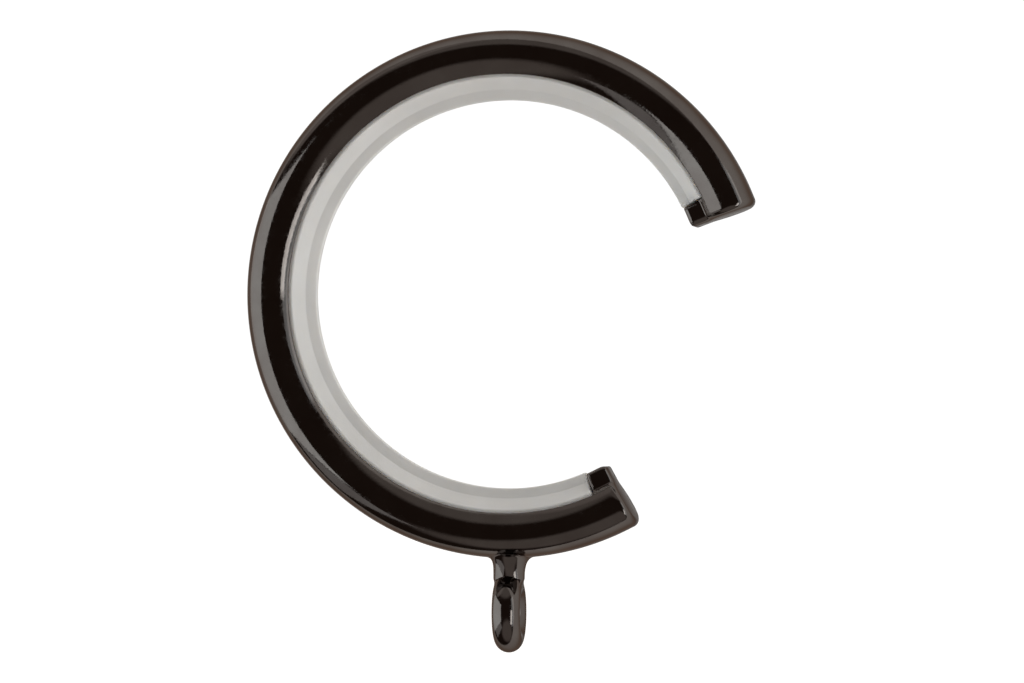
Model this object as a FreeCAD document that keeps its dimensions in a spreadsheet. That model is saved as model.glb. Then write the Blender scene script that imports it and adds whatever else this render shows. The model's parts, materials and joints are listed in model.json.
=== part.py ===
import FreeCAD, Part
import Sketcher
import math
import os

# Open curtain-pole ring: a plated C-shaped ring, its low-friction liner and its drop eye.
# The pole runs along Y through the origin. The ring stands in the XZ plane, with its bracket gap
# towards +X and the drop eye hanging along -Z. Angles are in degrees from +X towards +Z.

# Driving dimensions, in millimetres and degrees, with what each one sets.
DIMENSIONS = [
    ("bore_radius", 19.5, "inside of the liner, where the pole runs"),
    ("liner_rise", 1.45, "how far the liner stands inside the metal"),
    ("metal_thickness", 5.55, "ring from its inside to its outside"),
    ("ring_width", 8.0, "ring along the pole"),
    ("side_flat", 0.4, "what the rounded edges leave flat on each side of the ring"),
    ("upper_end_angle", 19.5, "end face above the bracket gap"),
    ("lower_end_angle", -60.0, "end face below the bracket gap"),
    ("lip_width", 1.1, "metal at each side of the liner's channel"),
    ("channel_depth", 2.0, "how deep the liner's channel is cut into the metal"),
    ("side_gap", 0.05, "room at each side of the liner in its channel"),
    ("liner_end_gap", 0.3, "angle between each end of the liner and its stop"),
    ("land_width", 1.2, "running face of the liner, along the pole"),
    ("shoulder_width", 0.65, "steep shoulder at each side of the running face"),
    ("shoulder_rise", 1.0, "how far those shoulders climb from the running face"),
    ("mouth_depth", 0.7, "how deep the liner's sloped faces run in behind the ring's inside"),
    ("stop_angle", 6.0, "length of each end stop, as an angle"),
    ("stop_relief", 0.25, "how far the stops stay outside the bore"),
    ("stop_inset", 0.25, "how much narrower the stops are than the liner, at each side"),
    ("stop_bevel", 0.3, "bevel along the inside edges of the end stops"),
    ("neck_length", 1.44, "between the ring's outside and the loop"),
    ("neck_radius", 1.6, "neck between ring and loop"),
    ("neck_flare", 0.9, "hollow curve where the neck widens to the ring"),
    ("foot_edge", 0.12, "height of the foot's edge on the ring"),
    ("loop_radius", 2.6, "centre line of the eye's loop"),
    ("wire_radius", 1.42, "half the thickness of the loop"),
    ("hole_land", 0.06, "how deep the hook hole is reamed into the loop"),
    ("peg_radius", 1.2, "peg on top of the eye"),
    ("socket_wall", 0.8, "metal between the peg's socket and the channel"),
    ("braze_gap", 0.03, "room round the peg in its socket"),
]

doc = FreeCAD.newDocument("pole_ring")

sheet = doc.addObject("Spreadsheet::Sheet", "Dimensions")
for row, (alias, value, meaning) in enumerate(DIMENSIONS, start=1):
    sheet.set(f"A{row}", alias)
    sheet.set(f"B{row}", str(value))
    sheet.set(f"C{row}", meaning)
    sheet.setAlias(f"B{row}", alias)
doc.recompute()


def cell(alias):
    """The name of a driving dimension, as expressions refer to it."""
    return f"Dimensions.{alias}"


BORE = cell("bore_radius")
INNER = f"({BORE} + {cell('liner_rise')})"
OUTER = f"({INNER} + {cell('metal_thickness')})"
EDGE_ROUND = f"(({cell('metal_thickness')} - {cell('side_flat')}) / 2)"
HALF_RING = f"({cell('ring_width')} / 2)"
HALF_CHANNEL = f"({HALF_RING} - {cell('lip_width')})"
HALF_LINER = f"({HALF_CHANNEL} - {cell('side_gap')})"
HALF_LAND = f"({cell('land_width')} / 2)"
HALF_STOP = f"({HALF_LINER} - {cell('stop_inset')})"
CHANNEL_FLOOR = f"({INNER} + {cell('channel_depth')})"
STOP_INSIDE = f"({BORE} + {cell('stop_relief')})"
SOCKET_FLOOR = f"({CHANNEL_FLOOR} + {cell('socket_wall')})"
SOCKET_RADIUS = f"({cell('peg_radius')} + {cell('braze_gap')})"
WAIST = f"({OUTER} + {cell('foot_edge')} + {cell('neck_flare')})"
EYE_CENTRE = f"({OUTER} + {cell('neck_length')} + {cell('wire_radius')} + {cell('loop_radius')})"
EYE_HOLE = f"({cell('loop_radius')} - {cell('wire_radius')} + {cell('hole_land')})"
RING_SWEEP = f"(360 - {cell('upper_end_angle')} + {cell('lower_end_angle')})"
RING_MIDDLE = f"({cell('upper_end_angle')} + {RING_SWEEP} / 2)"
CHANNEL_SWEEP = f"({RING_SWEEP} - 2 * {cell('stop_angle')})"
LINER_SWEEP = f"({CHANNEL_SWEEP} - 2 * {cell('liner_end_gap')})"
UPPER_STOP = f"({cell('upper_end_angle')} + {cell('stop_angle')} / 2)"
LOWER_STOP = f"({cell('lower_end_angle')} - {cell('stop_angle')} / 2)"


def value_of(expression):
    """The present value of an expression, used as a sketch's first guess."""
    return float(sheet.evalExpression(expression))


def new_body(name):
    """An empty body whose label is its name."""
    body = doc.addObject("PartDesign::Body", name)
    body.Label = name
    return body


def plane_of(body, role):
    """One of the body's own origin planes."""
    return next(plane for plane in body.Origin.OriginFeatures if plane.Role == role)


def outline(body, name, role, corners, turn=None):
    """A closed sketch of straight sides, each corner held by two expressions.

    turn is an angle about the pole that carries the sketch plane round the ring.
    """
    sketch = body.newObject("Sketcher::SketchObject", name)
    sketch.AttachmentSupport = [(plane_of(body, role), "")]
    sketch.MapMode = "FlatFace"
    if turn:
        start = FreeCAD.Rotation(FreeCAD.Vector(0, -1, 0), value_of(turn))
        sketch.AttachmentOffset = FreeCAD.Placement(FreeCAD.Vector(), start)
        sketch.setExpression("AttachmentOffset.Rotation.Angle", turn)
    points = [FreeCAD.Vector(value_of(across), value_of(up), 0) for across, up in corners]
    count = len(points)
    for side in range(count):
        sketch.addGeometry(Part.LineSegment(points[side], points[(side + 1) % count]), False)
    for side in range(count):
        sketch.addConstraint(Sketcher.Constraint("Coincident", side, 2, (side + 1) % count, 1))
    for side, (across, up) in enumerate(corners):
        hold(sketch, "DistanceX", side, across)
        hold(sketch, "DistanceY", side, up)
    return sketch


def hold(sketch, kind, side, expression):
    """Tie one coordinate of a side's first point to an expression."""
    constraint = Sketcher.Constraint(kind, -1, 1, side, 1, value_of(expression))
    index = sketch.addConstraint(constraint)
    sketch.setExpression(f"Constraints[{index}]", expression)


def swept(body, kind, name, sketch, sweep):
    """Carry a section round the pole, by half the sweep to each side of its plane."""
    feature = body.newObject(kind, name)
    feature.Profile = sketch
    feature.ReferenceAxis = (sketch, ["V_Axis"])
    feature.Midplane = True
    feature.setExpression("Angle", sweep)
    doc.recompute()
    return feature


def rounded(body, name, base, picks, radius):
    """Round the edges of the base feature that picks accepts."""
    names = [f"Edge{index}" for index, edge in enumerate(base.Shape.Edges, start=1) if picks(edge)]
    feature = body.newObject("PartDesign::Fillet", name)
    feature.Base = (base, names)
    feature.setExpression("Radius", radius)
    doc.recompute()
    return feature


def rim(edge):
    """True for the four circular edges where the ring's sides meet its inside and outside."""
    radii = (value_of(INNER), value_of(OUTER))
    if edge.Curve.TypeId != "Part::GeomCircle":
        return False
    return any(abs(edge.Curve.Radius - radius) < 1e-4 for radius in radii)


def build_casting():
    """The C ring: a solid section, two end stops and the channel that the liner springs into."""
    body = new_body("ring_casting")
    section = outline(body, "ring_section", "XY_Plane", [
        (INNER, f"-{HALF_RING}"),
        (OUTER, f"-{HALF_RING}"),
        (OUTER, HALF_RING),
        (INNER, HALF_RING),
    ], RING_MIDDLE)
    ring = swept(body, "PartDesign::Revolution", "ring_sweep", section, RING_SWEEP)
    rounded(body, "edge_rounds", ring, rim, EDGE_ROUND)
    for name, middle in (("upper_stop", UPPER_STOP), ("lower_stop", LOWER_STOP)):
        section = outline(body, f"{name}_section", "XY_Plane", [
            (STOP_INSIDE, f"-({HALF_STOP} - {cell('stop_bevel')})"),
            (f"{STOP_INSIDE} + {cell('stop_bevel')}", f"-{HALF_STOP}"),
            (CHANNEL_FLOOR, f"-{HALF_STOP}"),
            (CHANNEL_FLOOR, HALF_STOP),
            (f"{STOP_INSIDE} + {cell('stop_bevel')}", HALF_STOP),
            (STOP_INSIDE, f"({HALF_STOP} - {cell('stop_bevel')})"),
        ], middle)
        swept(body, "PartDesign::Revolution", name, section, cell("stop_angle"))
    section = outline(body, "channel_section", "XY_Plane", [
        (BORE, f"-{HALF_CHANNEL}"),
        (CHANNEL_FLOOR, f"-{HALF_CHANNEL}"),
        (CHANNEL_FLOOR, HALF_CHANNEL),
        (BORE, HALF_CHANNEL),
    ], RING_MIDDLE)
    swept(body, "PartDesign::Groove", "channel", section, CHANNEL_SWEEP)
    return body


def build_liner():
    """The liner strip: a narrow running face, shoulders, sloped faces and a back in the channel."""
    body = new_body("liner")
    half = [
        (BORE, HALF_LAND),
        (f"{BORE} + {cell('shoulder_rise')}", f"({HALF_LAND} + {cell('shoulder_width')})"),
        (f"{INNER} + {cell('mouth_depth')}", HALF_LINER),
        (CHANNEL_FLOOR, HALF_LINER),
    ]
    mirrored = [(across, f"-{up}") for across, up in reversed(half)]
    section = outline(body, "liner_section", "XY_Plane", half + mirrored, RING_MIDDLE)
    swept(body, "PartDesign::Revolution", "liner_sweep", section, LINER_SWEEP)
    return body


def build_neck():
    """The eye's neck: a round stem that widens in a hollow curve to its foot on the ring."""
    body = new_body("neck_blank")
    neck = cell("neck_radius")
    foot = f"({neck} + {cell('neck_flare')})"
    foot_height = f"-({OUTER} + {cell('foot_edge')})"
    waist_height = f"-{WAIST}"
    loop_top = f"-({EYE_CENTRE} - {cell('loop_radius')})"
    inside_ring = f"-({OUTER} - {EDGE_ROUND} / 2)"
    stem = [
        ("0", loop_top),
        (neck, loop_top),
        (neck, waist_height),
        (foot, foot_height),
        (foot, inside_ring),
        ("0", inside_ring),
    ]
    sketch = outline(body, "neck_section", "XZ_Plane", stem)
    bend_side(sketch, 2, (foot, waist_height), cell("neck_flare"))
    feature = body.newObject("PartDesign::Revolution", "neck_turned")
    feature.Profile = sketch
    feature.ReferenceAxis = (sketch, ["V_Axis"])
    feature.Angle = 360
    doc.recompute()
    return body


def bend_side(sketch, side, centre, radius):
    """Swap one straight side of an outline for a quarter circle about the given centre."""
    middle = FreeCAD.Vector(value_of(centre[0]), value_of(centre[1]), 0)
    circle = Part.Circle(middle, FreeCAD.Vector(0, 0, 1), value_of(radius))
    arc = Part.ArcOfCircle(circle, math.pi / 2, math.pi)
    sketch.toggleConstruction(side)
    index = sketch.addGeometry(arc, False)
    sketch.addConstraint(Sketcher.Constraint("Coincident", index, 2, side, 1))
    sketch.addConstraint(Sketcher.Constraint("Coincident", index, 1, side, 2))
    held = sketch.addConstraint(Sketcher.Constraint("Radius", index, value_of(radius)))
    sketch.setExpression(f"Constraints[{held}]", radius)


def cylinder(name, radius, height, across_x):
    """A cylinder primitive along X, centred on its placement, or along Z, standing on it."""
    shape = doc.addObject("Part::Cylinder", name)
    shape.setExpression("Radius", radius)
    shape.setExpression("Height", height)
    if across_x:
        shape.Placement.Rotation = FreeCAD.Rotation(FreeCAD.Vector(0, 1, 0), 90)
        shape.setExpression("Placement.Base.x", f"-({height}) / 2")
    return shape


def build_ring_body(casting):
    """The finished ring: the casting with the socket for the eye's peg drilled into it."""
    drill = cylinder("socket_drill", SOCKET_RADIUS, f"{WAIST} - {SOCKET_FLOOR}", False)
    drill.setExpression("Placement.Base.z", f"-{WAIST}")
    ring = doc.addObject("Part::Cut", "ring_body")
    ring.Label = "ring_body"
    ring.Base = casting
    ring.Tool = drill
    return ring


def build_drop_eye(casting, neck):
    """The drop eye: loop, neck with a foot shaped to the ring, hook hole and peg."""
    loop = doc.addObject("Part::Torus", "loop")
    loop.setExpression("Radius1", cell("loop_radius"))
    loop.setExpression("Radius2", cell("wire_radius"))
    loop.Placement.Rotation = FreeCAD.Rotation(FreeCAD.Vector(0, 1, 0), 90)
    loop.setExpression("Placement.Base.z", f"-{EYE_CENTRE}")
    footed = doc.addObject("Part::Cut", "footed_neck")
    footed.Base = neck
    footed.Tool = casting
    blank = doc.addObject("Part::Fuse", "eye_blank")
    blank.Base = footed
    blank.Tool = loop
    hole = cylinder("hook_hole", EYE_HOLE, f"4 * {cell('wire_radius')}", True)
    hole.setExpression("Placement.Base.z", f"-{EYE_CENTRE}")
    holed = doc.addObject("Part::Cut", "holed_eye")
    holed.Base = blank
    holed.Tool = hole
    peg_height = f"{WAIST} - {SOCKET_FLOOR} - {cell('braze_gap')}"
    peg = cylinder("peg", cell("peg_radius"), peg_height, False)
    peg.setExpression("Placement.Base.z", f"-{WAIST}")
    eye = doc.addObject("Part::Fuse", "drop_eye")
    eye.Label = "drop_eye"
    eye.Base = holed
    eye.Tool = peg
    return eye


casting = build_casting()
liner = build_liner()
neck = build_neck()
nodes = [build_ring_body(casting), liner, build_drop_eye(casting, neck)]
doc.recompute()

for item in doc.Objects:
    if {"Invalid", "Error"} & set(item.State):
        raise RuntimeError(f"{item.Label} did not build: {item.State}")
for node in nodes:
    if node.Shape.isNull() or not node.Shape.isValid() or len(node.Shape.Solids) != 1:
        raise RuntimeError(f"{node.Label} is not one valid solid")

os.makedirs("parts", exist_ok=True)
for node in nodes:
    node.Shape.exportStep(f"parts/{node.Label}.step")
    print(f"{node.Label}: {node.Shape.Volume:.1f} mm3")
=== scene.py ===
import json
import math

import bpy
import numpy as np
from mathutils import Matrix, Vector


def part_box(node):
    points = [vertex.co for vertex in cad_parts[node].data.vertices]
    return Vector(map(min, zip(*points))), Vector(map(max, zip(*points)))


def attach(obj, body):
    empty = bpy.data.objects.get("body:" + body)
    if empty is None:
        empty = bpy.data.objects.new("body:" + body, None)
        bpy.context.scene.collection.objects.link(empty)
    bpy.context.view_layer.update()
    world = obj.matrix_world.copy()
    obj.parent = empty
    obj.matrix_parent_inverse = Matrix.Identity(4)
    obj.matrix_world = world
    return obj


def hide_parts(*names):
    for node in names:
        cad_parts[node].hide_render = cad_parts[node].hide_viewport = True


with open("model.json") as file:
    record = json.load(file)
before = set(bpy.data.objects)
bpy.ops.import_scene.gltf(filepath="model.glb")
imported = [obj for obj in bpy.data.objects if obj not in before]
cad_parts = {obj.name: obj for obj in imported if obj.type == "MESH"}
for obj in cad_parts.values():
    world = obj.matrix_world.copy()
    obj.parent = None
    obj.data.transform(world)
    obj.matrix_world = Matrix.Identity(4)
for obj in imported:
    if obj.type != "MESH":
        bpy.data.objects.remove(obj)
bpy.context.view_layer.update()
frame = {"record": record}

# Open curtain-pole ring: a plated C ring, a nylon liner between its end stops, and a drop eye.
# Lengths are in metres, angles in radians from +X towards +Z about the pole, which runs along Y.

MM = 0.001

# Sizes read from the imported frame.
MOUNTS = {mount["name"]: mount for mount in frame["record"]["mounts"]}
RING_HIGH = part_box("ring_body")[1]
LINER_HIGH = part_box("liner")[1]
EYE_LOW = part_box("drop_eye")[0]
OUTER = RING_HIGH.z
HALF_RING = RING_HIGH.y
BORE = MOUNTS["pole_bore"]["dims"]["r_mm"] * MM
HALF_LAND = MOUNTS["pole_bore"]["dims"]["length_mm"] * MM / 2
CHANNEL_FLOOR = LINER_HIGH.z
HALF_LINER = LINER_HIGH.y
UPPER_END = math.acos(RING_HIGH.x / OUTER)
EYE_CENTRE = MOUNTS["eye_hole"]["pos_m"][2]
HOOK_HOLE = MOUNTS["eye_hole"]["dims"]["r_mm"] * MM
LOOP_OUTSIDE = EYE_CENTRE - EYE_LOW.z

# The ring's section: the radius of its inner rim, which the liner rises above, the two unequal
# quarters that meet at the crest, and the channel's play and lip.
LINER_RISE = 1.45 * MM
INSIDE = BORE + LINER_RISE
INNER_REACH = 3.4 * MM
INNER_POWER = 1.85
OUTER_REACH = 2.5 * MM
OUTER_POWER = 2.5
CREST = OUTER - OUTER_REACH
SIDE_GAP = 0.05 * MM
LIP_EDGE = 0.12 * MM

# The ring's ends and their stops. STOP_SHARPER is how much less the end's rim is rounded on the
# stop, and STOP_STEP the distance in which the stop gives way to the channel.
LOWER_END = math.radians(300)
END_EDGE = 0.7 * MM
STOP_SWEEP = math.radians(6)
STOP_RELIEF = 0.25 * MM
STOP_INSET = 0.25 * MM
STOP_CORNER = 0.45 * MM
STOP_ROOT = 0.2 * MM
STOP_EDGE = 0.22 * MM
STOP_SHARPER = 0.6
STOP_STEP = 0.03 * MM

# The liner: its shoulders, the depth at which its sides start, its corners and its play.
SHOULDER_WIDTH = 0.65 * MM
SHOULDER_RISE = 1.0 * MM
MOUTH_DEPTH = 0.7 * MM
LINER_CORNER = 0.28 * MM
LINER_EDGE = 0.2 * MM
LINER_GAP = math.radians(0.35)
BACK_CLEAR = 0.02 * MM

# The drop eye: its wire and loop, its waist, its foot on the ring, and where the neck lands on
# the loop.
WIRE = 1.42 * MM
LOOP = LOOP_OUTSIDE - WIRE
WAIST = 1.58 * MM
WAIST_DROP = 2.0 * MM
FRONT_LEAN = -0.22
FOOT = 2.45 * MM
FOOT_SWELL = 0.16 * MM
FOOT_DEPTH = 2.75 * MM
SHOULDER_TURN = math.radians(62)
SHOULDER_WRAP = math.radians(84)

# How long the neck's curves keep to their direction as they leave the ring, reach the waist,
# leave the waist and reach the loop, and how much longer the first two do at the sides.
RING_FILLET = 1.5 * MM
RING_FILLET_BESIDE = 0.9 * MM
WAIST_FILLET = 2.6 * MM
WAIST_FILLET_BESIDE = 1.0 * MM
BELOW_WAIST = 0.8 * MM
LOOP_FILLET = 1.2 * MM

# The small moves that give the slope of a surface where the neck meets it.
FOOT_NUDGE = 0.02 * MM
LOOP_NUDGE = 0.01

# How finely the surfaces are divided. Plain rows start CLEAR times a rim's radius from its end,
# and the points that keep a side flat lie SUPPORT times a corner's reach before its arc.
STATION = math.radians(0.75)
CORNER_POINTS = 6
FLANK_POINTS = 46
RIM_ROWS = 7
STOP_ROWS = 9
NECK_ROWS = 26
ROUND_NECK = 96
ROUND_LOOP = 144
ROUND_WIRE = 72
CLEAR = 1.15
SUPPORT = 0.15

# The floor: how far it lies below the eye, how wide it is, and the points round its rim.
FLOOR_DROP = 30 * MM
FLOOR_REACH = 3.0
ROUND_FLOOR = 96

# How far the light panels stand from the ring's middle.
PANEL_DISTANCE = 0.40


def new_piece(name, points, faces, material):
    """A smooth-shaded mesh object at the origin, its faces turned outwards."""
    mesh = bpy.data.meshes.new(name)
    mesh.from_pydata(points, [], faces)
    mesh.validate()
    piece = bpy.data.objects.new(name, mesh)
    bpy.context.scene.collection.objects.link(piece)
    bpy.context.view_layer.objects.active = piece
    piece.select_set(True)
    bpy.ops.object.mode_set(mode="EDIT")
    bpy.ops.mesh.select_all(action="SELECT")
    bpy.ops.mesh.normals_make_consistent(inside=False)
    bpy.ops.object.mode_set(mode="OBJECT")
    piece.select_set(False)
    mesh.shade_smooth()
    mesh.materials.append(material)
    return piece


def skin(rows, columns):
    """Quads over a grid whose columns close on themselves."""
    row, column = np.meshgrid(np.arange(rows - 1), np.arange(columns), indexing="ij")
    beside = (column + 1) % columns
    quads = [row * columns + column, row * columns + beside,
             (row + 1) * columns + beside, (row + 1) * columns + column]
    return np.stack(quads, axis=-1).reshape(-1, 4)


def ladder(start, half):
    """The rungs that close one end row of a mirrored section, its half holding this many points.

    Rung k joins point k of one half to its mirror image; the two points on the middle plane
    close with a triangle each.
    """
    count = 2 * half - 2
    k = np.arange(1, half - 2)
    rungs = np.stack([k, k + 1, count - k - 1, count - k], axis=-1) + start
    tips = [[start, start + 1, start + count - 1],
            [start + half - 2, start + half - 1, start + half]]
    return rungs.tolist() + tips


def softened(corners, radii):
    """An open outline with rounded corners.

    Each inner corner becomes a circular arc of its radius, with one more point just before and
    just after it on the straight sides, so that flat sides stay flat when shaded.
    """
    corners = np.array(corners, float)
    pieces = [corners[:1]]
    for before, corner, after, radius in zip(corners, corners[1:], corners[2:], radii):
        inward = (before - corner) / np.linalg.norm(before - corner)
        outward = (after - corner) / np.linalg.norm(after - corner)
        half_turn = math.acos(np.clip(inward @ outward, -1, 1)) / 2
        reach = radius / math.tan(half_turn)
        bisector = (inward + outward) / np.linalg.norm(inward + outward)
        centre = corner + bisector * radius / math.sin(half_turn)
        start = corner + inward * reach - centre
        end = corner + outward * reach - centre
        turn = math.pi - 2 * half_turn
        share = np.linspace(0, 1, CORNER_POINTS)[:, None]
        arc = (np.sin((1 - share) * turn) * start + np.sin(share * turn) * end) / math.sin(turn)
        support = SUPPORT * reach
        pieces += [(corner + inward * (reach + support))[None], centre + arc,
                   (corner + outward * (reach + support))[None]]
    pieces.append(corners[-1:])
    return np.concatenate(pieces)


def mirrored(half):
    """The closed section whose half runs from the middle plane round to the middle plane."""
    other = half[-2:0:-1] * [1, -1]
    return np.concatenate([half, other])


def shrunk(section, depth):
    """A closed section moved inwards along its own normals by one depth, or one for each point."""
    along = np.roll(section, -1, axis=0) - np.roll(section, 1, axis=0)
    normal = np.stack([-along[:, 1], along[:, 0]], axis=-1)
    normal /= np.linalg.norm(normal, axis=1, keepdims=True)
    return section - normal * np.broadcast_to(depth, len(section))[:, None]


def carried(section, angle, along=0.0):
    """A section of radius and height carried to an angle about the pole.

    The radius runs along (cos, 0, sin) of the angle, the height along Y, and the whole row
    then moves straight ahead by the distance along.
    """
    radius, height = section[:, 0], section[:, 1]
    x = radius * math.cos(angle) - along * math.sin(angle)
    z = radius * math.sin(angle) + along * math.cos(angle)
    return np.stack([x, height, z], axis=-1)


def rounded_end(section, angle, edge, ahead, weight=1.0):
    """Rows that round an end's rim by a quarter circle, from the end plane inwards.

    At the quarter circle's angle t, the row lies edge(1 - sin t) behind the end plane and is
    shrunk by edge(1 - cos t) times the weight, which may differ from point to point. ahead is +1
    where the part lies towards growing angles.
    """
    turns = np.linspace(math.pi / 2, 0, RIM_ROWS)
    return [carried(shrunk(section, edge * (1 - math.cos(turn)) * weight), angle,
                    ahead * edge * (1 - math.sin(turn))) for turn in turns]


def flank(from_height):
    """The ring's outside from a height on its inner flank over its crest to the outer middle.

    Two quarters of superellipses that meet at the crest, where the ring is widest:
    (distance from the crest / reach)^p + (height / half width)^p is 1. The inner quarter, which
    the channel cuts short, has the longer reach and the rounder power.
    """
    first = math.pi - math.asin((from_height / HALF_RING) ** (INNER_POWER / 2))
    turn = np.linspace(first, 0, FLANK_POINTS)
    lean = np.cos(turn)
    reach = np.where(lean < 0, INNER_REACH, OUTER_REACH)
    power = 2 / np.where(lean < 0, INNER_POWER, OUTER_POWER)
    radius = CREST + reach * np.sign(lean) * np.abs(lean) ** power
    height = HALF_RING * np.abs(np.sin(turn)) ** power
    return np.stack([radius, height], axis=-1)


def ring_half(inside, half_width, corner, root):
    """Half of the ring's section: an inner face, a side, and the flank that they run into.

    The same count of points makes both the channel, with its face far out, and the stop.
    """
    start = flank(half_width)[0]
    outside = flank(half_width + 2 * root)
    bend = [(inside, 0), (inside, half_width), (start[0], half_width), tuple(outside[0])]
    inner = softened(bend, [corner, root])
    return np.concatenate([inner[:-1], outside])


def ring_rows():
    """Every row of the ring, from the end above the gap to the end below it.

    fade is 1 for the points of the stop's face and sides, which stand proud of the channel, and
    falls to 0 at its root, so the flank runs past the stop unbroken.
    """
    half_stop = HALF_LINER - STOP_INSET
    stop = mirrored(ring_half(BORE + STOP_RELIEF, half_stop, STOP_CORNER, STOP_ROOT))
    channel = mirrored(ring_half(CHANNEL_FLOOR, HALF_LINER + SIDE_GAP, LIP_EDGE, LIP_EDGE))
    on_stop = (np.abs(stop[:, 1]) < half_stop + STOP_ROOT) & (stop[:, 0] < CREST)
    root_radius = flank(half_stop)[0][0]
    fade = np.clip((root_radius - stop[:, 0]) / (2 * STOP_ROOT), 0, 1) * on_stop
    step = STOP_STEP / CREST
    edge_turn = STOP_EDGE / CREST

    rim = 1 - STOP_SHARPER * fade
    rows = rounded_end(stop, UPPER_END, END_EDGE, 1, rim)
    near = UPPER_END + CLEAR * END_EDGE / BORE
    far = UPPER_END + STOP_SWEEP - CLEAR * edge_turn
    rows += [carried(stop, angle) for angle in np.linspace(near, far, STOP_ROWS)]
    rows += rounded_end(stop, UPPER_END + STOP_SWEEP, STOP_EDGE, -1, fade)[::-1]
    first = UPPER_END + STOP_SWEEP + step
    last = LOWER_END - STOP_SWEEP - step
    count = int((last - first) / STATION)
    rows += [carried(channel, angle) for angle in np.linspace(first, last, count)]
    rows += rounded_end(stop, LOWER_END - STOP_SWEEP, STOP_EDGE, 1, fade)
    near = LOWER_END - STOP_SWEEP + CLEAR * edge_turn
    far = LOWER_END - CLEAR * END_EDGE / BORE
    rows += [carried(stop, angle) for angle in np.linspace(near, far, STOP_ROWS)]
    rows += rounded_end(stop, LOWER_END, END_EDGE, -1, rim)[::-1]
    return rows


def closed_sweep(name, rows, material):
    """A piece skinned over its rows and closed at both ends by ladders."""
    columns = len(rows[0])
    half = columns // 2 + 1
    faces = skin(len(rows), columns).tolist()
    faces += ladder(0, half) + ladder((len(rows) - 1) * columns, half)
    return new_piece(name, np.concatenate(rows), faces, material)


def make_ring(material):
    """The plated C ring with its two end stops and the liner's channel."""
    return closed_sweep("plated_ring", ring_rows(), material)


def make_liner(material):
    """The nylon strip: running face, shoulders, sloped faces and back, with softened corners."""
    back = CHANNEL_FLOOR - BACK_CLEAR
    half = softened([
        (BORE, 0),
        (BORE, HALF_LAND),
        (BORE + SHOULDER_RISE, HALF_LAND + SHOULDER_WIDTH),
        (INSIDE + MOUTH_DEPTH, HALF_LINER),
        (back, HALF_LINER),
        (back, 0),
    ], [LINER_CORNER, LINER_CORNER, LINER_CORNER, LINER_EDGE])
    section = mirrored(half)
    first = UPPER_END + STOP_SWEEP + LINER_GAP
    last = LOWER_END - STOP_SWEEP - LINER_GAP
    inset = CLEAR * LINER_EDGE / BORE
    count = int((last - first) / STATION)
    rows = rounded_end(section, first, LINER_EDGE, 1)
    rows += [carried(section, angle) for angle in np.linspace(first + inset, last - inset, count)]
    rows += rounded_end(section, last, LINER_EDGE, -1)[::-1]
    return closed_sweep("nylon_liner", rows, material)


def loop_point(turn, wrap):
    """A point of the eye's loop: a torus about X.

    turn goes round the loop from its top towards +Y, and wrap goes round the wire from its
    outermost side towards +X. Nothing comes nearer to the axis than the hook hole's radius.
    """
    reach = np.maximum(LOOP + WIRE * np.cos(wrap), HOOK_HOLE)
    return np.stack([WIRE * np.sin(wrap), reach * np.sin(turn),
                     EYE_CENTRE + reach * np.cos(turn)], axis=-1)


def ring_underside(x, y):
    """The point of the ring's outside below a place, from the section's outer superellipse."""
    rest = 1 - (np.abs(y) / HALF_RING) ** OUTER_POWER
    radius = CREST + OUTER_REACH * rest ** (1 / OUTER_POWER)
    return np.stack([x, y, -np.sqrt(radius ** 2 - x ** 2)], axis=-1)


def eased(start, leaving, end, arriving):
    """Rows of the Hermite cubics between two curves, along given directions at both ends."""
    share = np.linspace(0, 1, NECK_ROWS)[:, None, None]
    return ((2 * share ** 3 - 3 * share ** 2 + 1) * start
            + (share ** 3 - 2 * share ** 2 + share) * leaving
            + (3 * share ** 2 - 2 * share ** 3) * end
            + (share ** 3 - share ** 2) * arriving)


def unit(vectors):
    """The same directions with length one."""
    return vectors / np.linalg.norm(vectors, axis=-1, keepdims=True)


def neck_rows():
    """Rows of the neck, from its foot on the ring over the waist to the shoulders of the loop.

    Both ends leave along the surface that they lie on. The waist is a circle, crossed straight
    down at the sides and still narrowing at front and back.
    """
    around = np.linspace(0, 2 * math.pi, ROUND_NECK, endpoint=False)
    across, deep = np.cos(around), np.sin(around)
    foot = FOOT + FOOT_SWELL * across
    at_ring = ring_underside(foot * across, FOOT_DEPTH * deep)
    within = ring_underside((foot - FOOT_NUDGE) * across, (FOOT_DEPTH - FOOT_NUDGE) * deep)
    inward = unit(within - at_ring)
    waist_height = -(OUTER + WAIST_DROP)
    waist = np.stack([WAIST * across, WAIST * deep, np.full(ROUND_NECK, waist_height)], axis=-1)
    down = np.stack([0 * across, FRONT_LEAN * deep, np.full(ROUND_NECK, -1.0)], axis=-1)
    turn, wrap = SHOULDER_TURN * deep, SHOULDER_WRAP * across
    at_loop = loop_point(turn, wrap)
    more, less = 1 + LOOP_NUDGE, 1 - LOOP_NUDGE
    outward = unit(loop_point(turn * more, wrap * more) - loop_point(turn * less, wrap * less))
    beside = across[:, None] ** 2
    leaving = inward * (RING_FILLET + RING_FILLET_BESIDE * beside)
    arriving = down * (WAIST_FILLET + WAIST_FILLET_BESIDE * beside)
    upper = eased(at_ring, leaving, waist, arriving)
    lower = eased(waist, down * BELOW_WAIST, at_loop, outward * LOOP_FILLET)
    return np.concatenate([upper, lower[1:]])


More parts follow.
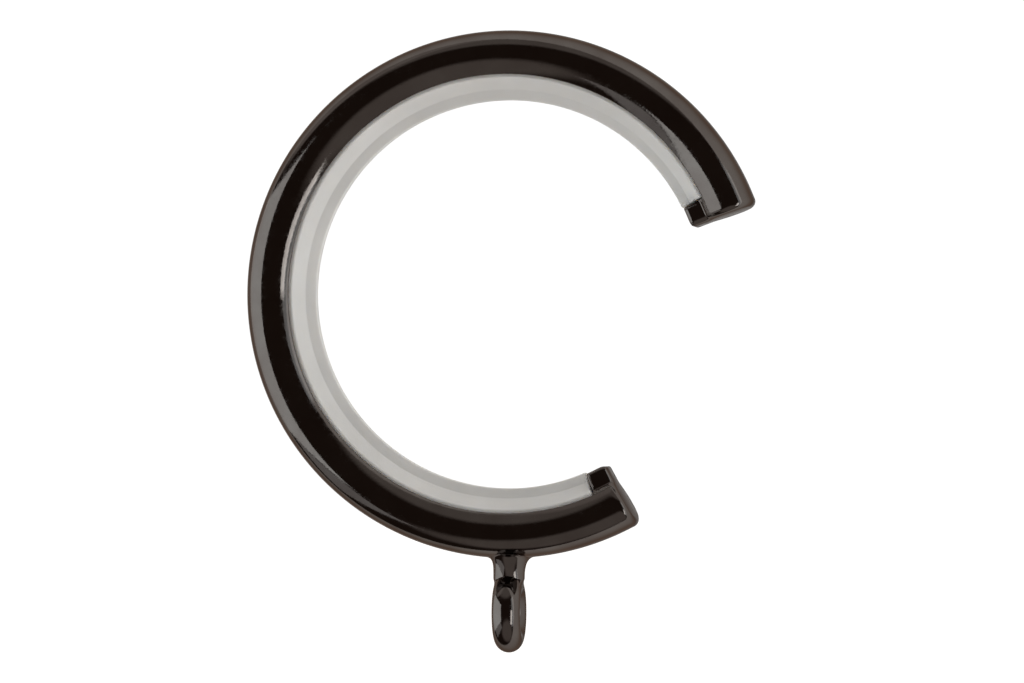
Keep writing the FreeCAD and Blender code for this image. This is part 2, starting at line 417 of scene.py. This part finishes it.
def make_eye(material):
    """The drop eye: its loop, and the neck that rises from the loop's top into the ring."""
    around, over = np.meshgrid(np.linspace(0, 2 * math.pi, ROUND_LOOP, endpoint=False),
                               np.linspace(0, 2 * math.pi, ROUND_WIRE, endpoint=False), indexing="ij")
    loop = loop_point(around, over).reshape(-1, 3)
    first = len(loop)
    loop_faces = skin(ROUND_LOOP + 1, ROUND_WIRE) % first
    neck = neck_rows()
    rows, columns = neck.shape[:2]
    neck_faces = skin(rows, columns) + first
    poles = [[0, 0, -(OUTER + CREST) / 2], [0, 0, EYE_CENTRE + LOOP]]
    top, bottom = first + rows * columns, first + rows * columns + 1
    column = np.arange(columns)
    beside = (column + 1) % columns
    last_row = first + (rows - 1) * columns
    upper_fan = np.stack([np.full(columns, top), first + beside, first + column], axis=-1)
    lower_fan = np.stack([np.full(columns, bottom), last_row + column, last_row + beside], axis=-1)
    points = np.concatenate([loop, neck.reshape(-1, 3), poles])
    faces = loop_faces.tolist() + neck_faces.tolist() + upper_fan.tolist() + lower_fan.tolist()
    return new_piece("eye_and_neck", points, faces, material)


def node(tree, kind, **values):
    """A new shader node with its own settings and the unlinked inputs given by name."""
    made = tree.nodes.new(kind)
    for name, value in values.items():
        if hasattr(made, name):
            setattr(made, name, value)
        else:
            made.inputs[name.replace("_", " ")].default_value = value
    return made


def new_material(name):
    """A material, its node tree and its main shader."""
    material = bpy.data.materials.new(name)
    material.use_nodes = True
    return material, material.node_tree, material.node_tree.nodes["Principled BSDF"]


def fine_noise(tree, coordinates, scale, detail):
    """A noise pattern of this scale on the object's own coordinates."""
    noise = node(tree, "ShaderNodeTexNoise", Scale=scale, Detail=detail)
    tree.links.new(coordinates, noise.inputs["Vector"])
    return noise.outputs["Fac"]


def spread(tree, value, low, high, to_low, to_high):
    """A value mapped from one range to another."""
    ranged = node(tree, "ShaderNodeMapRange",
                  From_Min=low, From_Max=high, To_Min=to_low, To_Max=to_high)
    tree.links.new(value, ranged.inputs["Value"])
    return ranged.outputs["Result"]


def two_tone(tree, value, low, low_colour, high, high_colour):
    """A colour that goes from one to another while the value goes from low to high."""
    ramp = node(tree, "ShaderNodeValToRGB")
    ramp.color_ramp.elements[0].position = low
    ramp.color_ramp.elements[0].color = low_colour
    ramp.color_ramp.elements[1].position = high
    ramp.color_ramp.elements[1].color = high_colour
    tree.links.new(value, ramp.inputs["Fac"])
    return ramp.outputs["Color"]


def bumped(tree, height, strength, distance):
    """A bump of this strength, as deep as the distance where the height pattern is full."""
    bump = node(tree, "ShaderNodeBump", Strength=strength, Distance=distance)
    tree.links.new(height, bump.inputs["Height"])
    return bump


def dark_plate():
    """Polished black nickel: a warm dark mirror with a faint ripple, haze and polishing dust."""
    material, tree, shader = new_material("dark_plate")
    shader.inputs["Metallic"].default_value = 1.0
    shader.inputs["Specular Tint"].default_value = (0.42, 0.36, 0.33, 1)
    place = tree.nodes.new("ShaderNodeTexCoord").outputs["Object"]

    smoke = (0.148, 0.132, 0.125, 1)
    warm_smoke = (0.176, 0.163, 0.155, 1)
    clouds = fine_noise(tree, place, scale=260, detail=4.0)
    tint = two_tone(tree, clouds, 0.35, smoke, 0.68, warm_smoke)
    tree.links.new(tint, shader.inputs["Base Color"])

    smears = fine_noise(tree, place, scale=1900, detail=5.0)
    haze = spread(tree, smears, low=0.38, high=0.72, to_low=0.04, to_high=0.20)
    tree.links.new(haze, shader.inputs["Roughness"])

    ripple = bumped(tree, fine_noise(tree, place, scale=420, detail=2.0), 0.10, 0.06 * MM)
    dust = bumped(tree, fine_noise(tree, place, scale=4200, detail=4.0), 0.20, 0.02 * MM)
    tree.links.new(ripple.outputs["Normal"], dust.inputs["Normal"])
    tree.links.new(dust.outputs["Normal"], shader.inputs["Normal"])
    return material


def milky_nylon():
    """Natural nylon: milky and a little translucent, satin, with faint cloud and flow marks."""
    material, tree, shader = new_material("liner_nylon")
    shader.inputs["Subsurface Weight"].default_value = 0.35
    shader.inputs["Subsurface Radius"].default_value = (1.0, 0.9, 0.75)
    shader.inputs["Subsurface Scale"].default_value = 0.8 * MM
    shader.inputs["IOR"].default_value = 1.53
    place = tree.nodes.new("ShaderNodeTexCoord").outputs["Object"]

    milk = (0.64, 0.635, 0.62, 1)
    pale_milk = (0.73, 0.725, 0.71, 1)
    clouds = fine_noise(tree, place, scale=150, detail=3.0)
    tint = two_tone(tree, clouds, 0.3, milk, 0.75, pale_milk)
    tree.links.new(tint, shader.inputs["Base Color"])

    grain = fine_noise(tree, place, scale=1400, detail=3.0)
    satin = spread(tree, grain, low=0.3, high=0.7, to_low=0.34, to_high=0.46)
    tree.links.new(satin, shader.inputs["Roughness"])

    flow = bumped(tree, fine_noise(tree, place, scale=900, detail=4.0), 0.25, 0.05 * MM)
    tree.links.new(flow.outputs["Normal"], shader.inputs["Normal"])
    return material


def make_floor():
    """A wide pale floor below the eye, left out of reflections and of the light on the pieces."""
    around = np.linspace(0, 2 * math.pi, ROUND_FLOOR, endpoint=False)
    level = np.full(ROUND_FLOOR, EYE_LOW.z - FLOOR_DROP)
    rim = np.stack([FLOOR_REACH * np.cos(around), FLOOR_REACH * np.sin(around), level], axis=-1)
    material, _, shader = new_material("pale_floor")
    shader.inputs["Base Color"].default_value = (0.9, 0.9, 0.9, 1)
    shader.inputs["Roughness"].default_value = 0.9
    shader.inputs["Specular IOR Level"].default_value = 0.1
    shader.inputs["Emission Color"].default_value = (1, 1, 1, 1)
    shader.inputs["Emission Strength"].default_value = 0.75
    floor = new_piece("floor", rim, [list(range(ROUND_FLOOR))], material)
    floor.visible_glossy = False
    floor.visible_diffuse = False


def toward(azimuth, elevation):
    """The direction of an azimuth and an elevation in degrees; azimuth 0 is straight in front."""
    side, rise = math.radians(azimuth), math.radians(elevation)
    return Vector((math.sin(side) * math.cos(rise),
                   -math.cos(side) * math.cos(rise),
                   math.sin(rise)))


def placed(name, data, place, way):
    """A lamp or camera at a place, looking back against the way that leads out to it."""
    holder = bpy.data.objects.new(name, data)
    holder.location = place
    holder.rotation_euler = (-way).to_track_quat("-Z", "Y").to_euler()
    bpy.context.scene.collection.objects.link(holder)
    return holder


def add_panel(name, azimuth, elevation, width, height, radiance, colour, mirrored_too=True):
    """A soft rectangular light that faces the ring, equally bright per area at any size.

    mirrored_too says whether it also shows in reflections.
    """
    light = bpy.data.lights.new(name, "AREA")
    light.shape = "RECTANGLE"
    light.size = width
    light.size_y = height
    light.energy = radiance * math.pi * width * height
    light.color = colour
    way = toward(azimuth, elevation)
    lamp = placed(name, light, way * PANEL_DISTANCE, way)
    lamp.visible_camera = False
    lamp.visible_glossy = mirrored_too


def make_lights():
    """Soft panels that the plating mirrors, and four wide fills that only the nylon shows."""
    add_panel("left_panel", azimuth=-73, elevation=-4, width=0.68, height=0.42,
              radiance=1.15, colour=(0.96, 1.0, 1.0))
    add_panel("low_left_panel", azimuth=-70, elevation=-41, width=0.42, height=0.12,
              radiance=0.42, colour=(1.0, 1.0, 1.0))
    add_panel("right_panel", azimuth=55, elevation=-15, width=0.10, height=0.24,
              radiance=2.2, colour=(1.0, 1.0, 0.98))
    add_panel("pale_right_panel", azimuth=67, elevation=0, width=0.16, height=0.50,
              radiance=0.60, colour=(0.90, 0.97, 1.0))
    add_panel("fill_below", azimuth=20, elevation=-80, width=0.6, height=0.6,
              radiance=1.55, colour=(1.0, 0.99, 0.97), mirrored_too=False)
    add_panel("fill_right", azimuth=88, elevation=5, width=0.5, height=0.5,
              radiance=1.70, colour=(0.98, 1.0, 1.0), mirrored_too=False)
    add_panel("fill_left", azimuth=-88, elevation=5, width=0.5, height=0.5,
              radiance=1.30, colour=(0.96, 0.99, 1.0), mirrored_too=False)
    add_panel("fill_above", azimuth=20, elevation=80, width=0.6, height=0.6,
              radiance=0.50, colour=(1.0, 0.99, 0.97), mirrored_too=False)


def make_surround():
    """White behind everything seen directly, and a studio that only reflections and light show.

    The studio is dim in front and pale behind, with paler patches below, above and at the upper
    left, and a duller one straight behind. Each is laid over those before it.
    """
    world = bpy.data.worlds.new("studio")
    bpy.context.scene.world = world
    world.use_nodes = True
    tree = world.node_tree
    room = tree.nodes["Background"]
    way = tree.nodes.new("ShaderNodeTexCoord").outputs["Generated"]

    def facing(direction, low, high):
        """How far a direction lies towards another: their dot product eased from low to high."""
        dot = node(tree, "ShaderNodeVectorMath", operation="DOT_PRODUCT")
        dot.inputs[1].default_value = direction
        tree.links.new(way, dot.inputs[0])
        ease = node(tree, "ShaderNodeMapRange", interpolation_type="SMOOTHSTEP",
                    From_Min=low, From_Max=high)
        tree.links.new(dot.outputs["Value"], ease.inputs["Value"])
        return ease.outputs["Result"]

    def over(lower, factor, colour):
        """A colour laid over another where the factor says.

        A Mix node's colour sockets have the same names as its number ones, so they go by index.
        """
        mix = node(tree, "ShaderNodeMix", data_type="RGBA")
        under, on_top, result = mix.inputs[6], mix.inputs[7], mix.outputs[2]
        tree.links.new(factor, mix.inputs["Factor"])
        if isinstance(lower, tuple):
            under.default_value = lower
        else:
            tree.links.new(lower, under)
        on_top.default_value = colour
        return result

    dim = (0.040, 0.026, 0.020, 1)
    below = (0.26, 0.225, 0.205, 1)
    above = (0.26, 0.23, 0.21, 1)
    upper_left = (0.40, 0.36, 0.335, 1)
    pale = (0.64, 0.605, 0.57, 1)
    back = (0.36, 0.35, 0.34, 1)
    straight_up = (0, 0, 1)
    behind_and_right = (0.385, 1.0, 0.21)
    straight_behind = (0, 1, 0)
    colour = over(dim, facing(toward(20, -55), low=0.74, high=0.90), below)
    colour = over(colour, facing(straight_up, low=0.60, high=0.78), above)
    colour = over(colour, facing(toward(-100, 55), low=0.857, high=0.927), upper_left)
    colour = over(colour, facing(behind_and_right, low=0.0, high=0.06), pale)
    colour = over(colour, facing(straight_behind, low=0.90, high=0.97), back)
    tree.links.new(colour, room.inputs["Color"])

    white = node(tree, "ShaderNodeBackground", Color=(1, 1, 1, 1), Strength=1.05)
    seen = tree.nodes.new("ShaderNodeLightPath")
    choice = tree.nodes.new("ShaderNodeMixShader")
    tree.links.new(seen.outputs["Is Camera Ray"], choice.inputs["Fac"])
    tree.links.new(room.outputs["Background"], choice.inputs[1])
    tree.links.new(white.outputs["Background"], choice.inputs[2])
    tree.links.new(choice.outputs["Shader"], tree.nodes["World Output"].inputs["Surface"])


def make_camera():
    """A long lens in front, a little to the right of the ring's axis and a little below it."""
    camera = bpy.data.cameras.new("camera")
    camera.lens = 224
    camera.clip_start = 0.01
    camera.clip_end = 20
    aim = Vector((0.3 * MM, 0, -4.75 * MM))
    distance = 0.640
    way = toward(azimuth=7.5, elevation=-0.8)
    bpy.context.scene.camera = placed("camera", camera, aim + way * distance, way)


plate = dark_plate()
for piece, node_name, slot in (
    (make_ring(plate), "ring_body", "dark_plate"),
    (make_liner(milky_nylon()), "liner", "liner_nylon"),
    (make_eye(plate), "drop_eye", "dark_plate"),
):
    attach(piece, "root")
    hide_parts(node_name)

make_floor()
make_lights()
make_surround()
make_camera()
bpy.context.scene.view_settings.view_transform = "Standard"
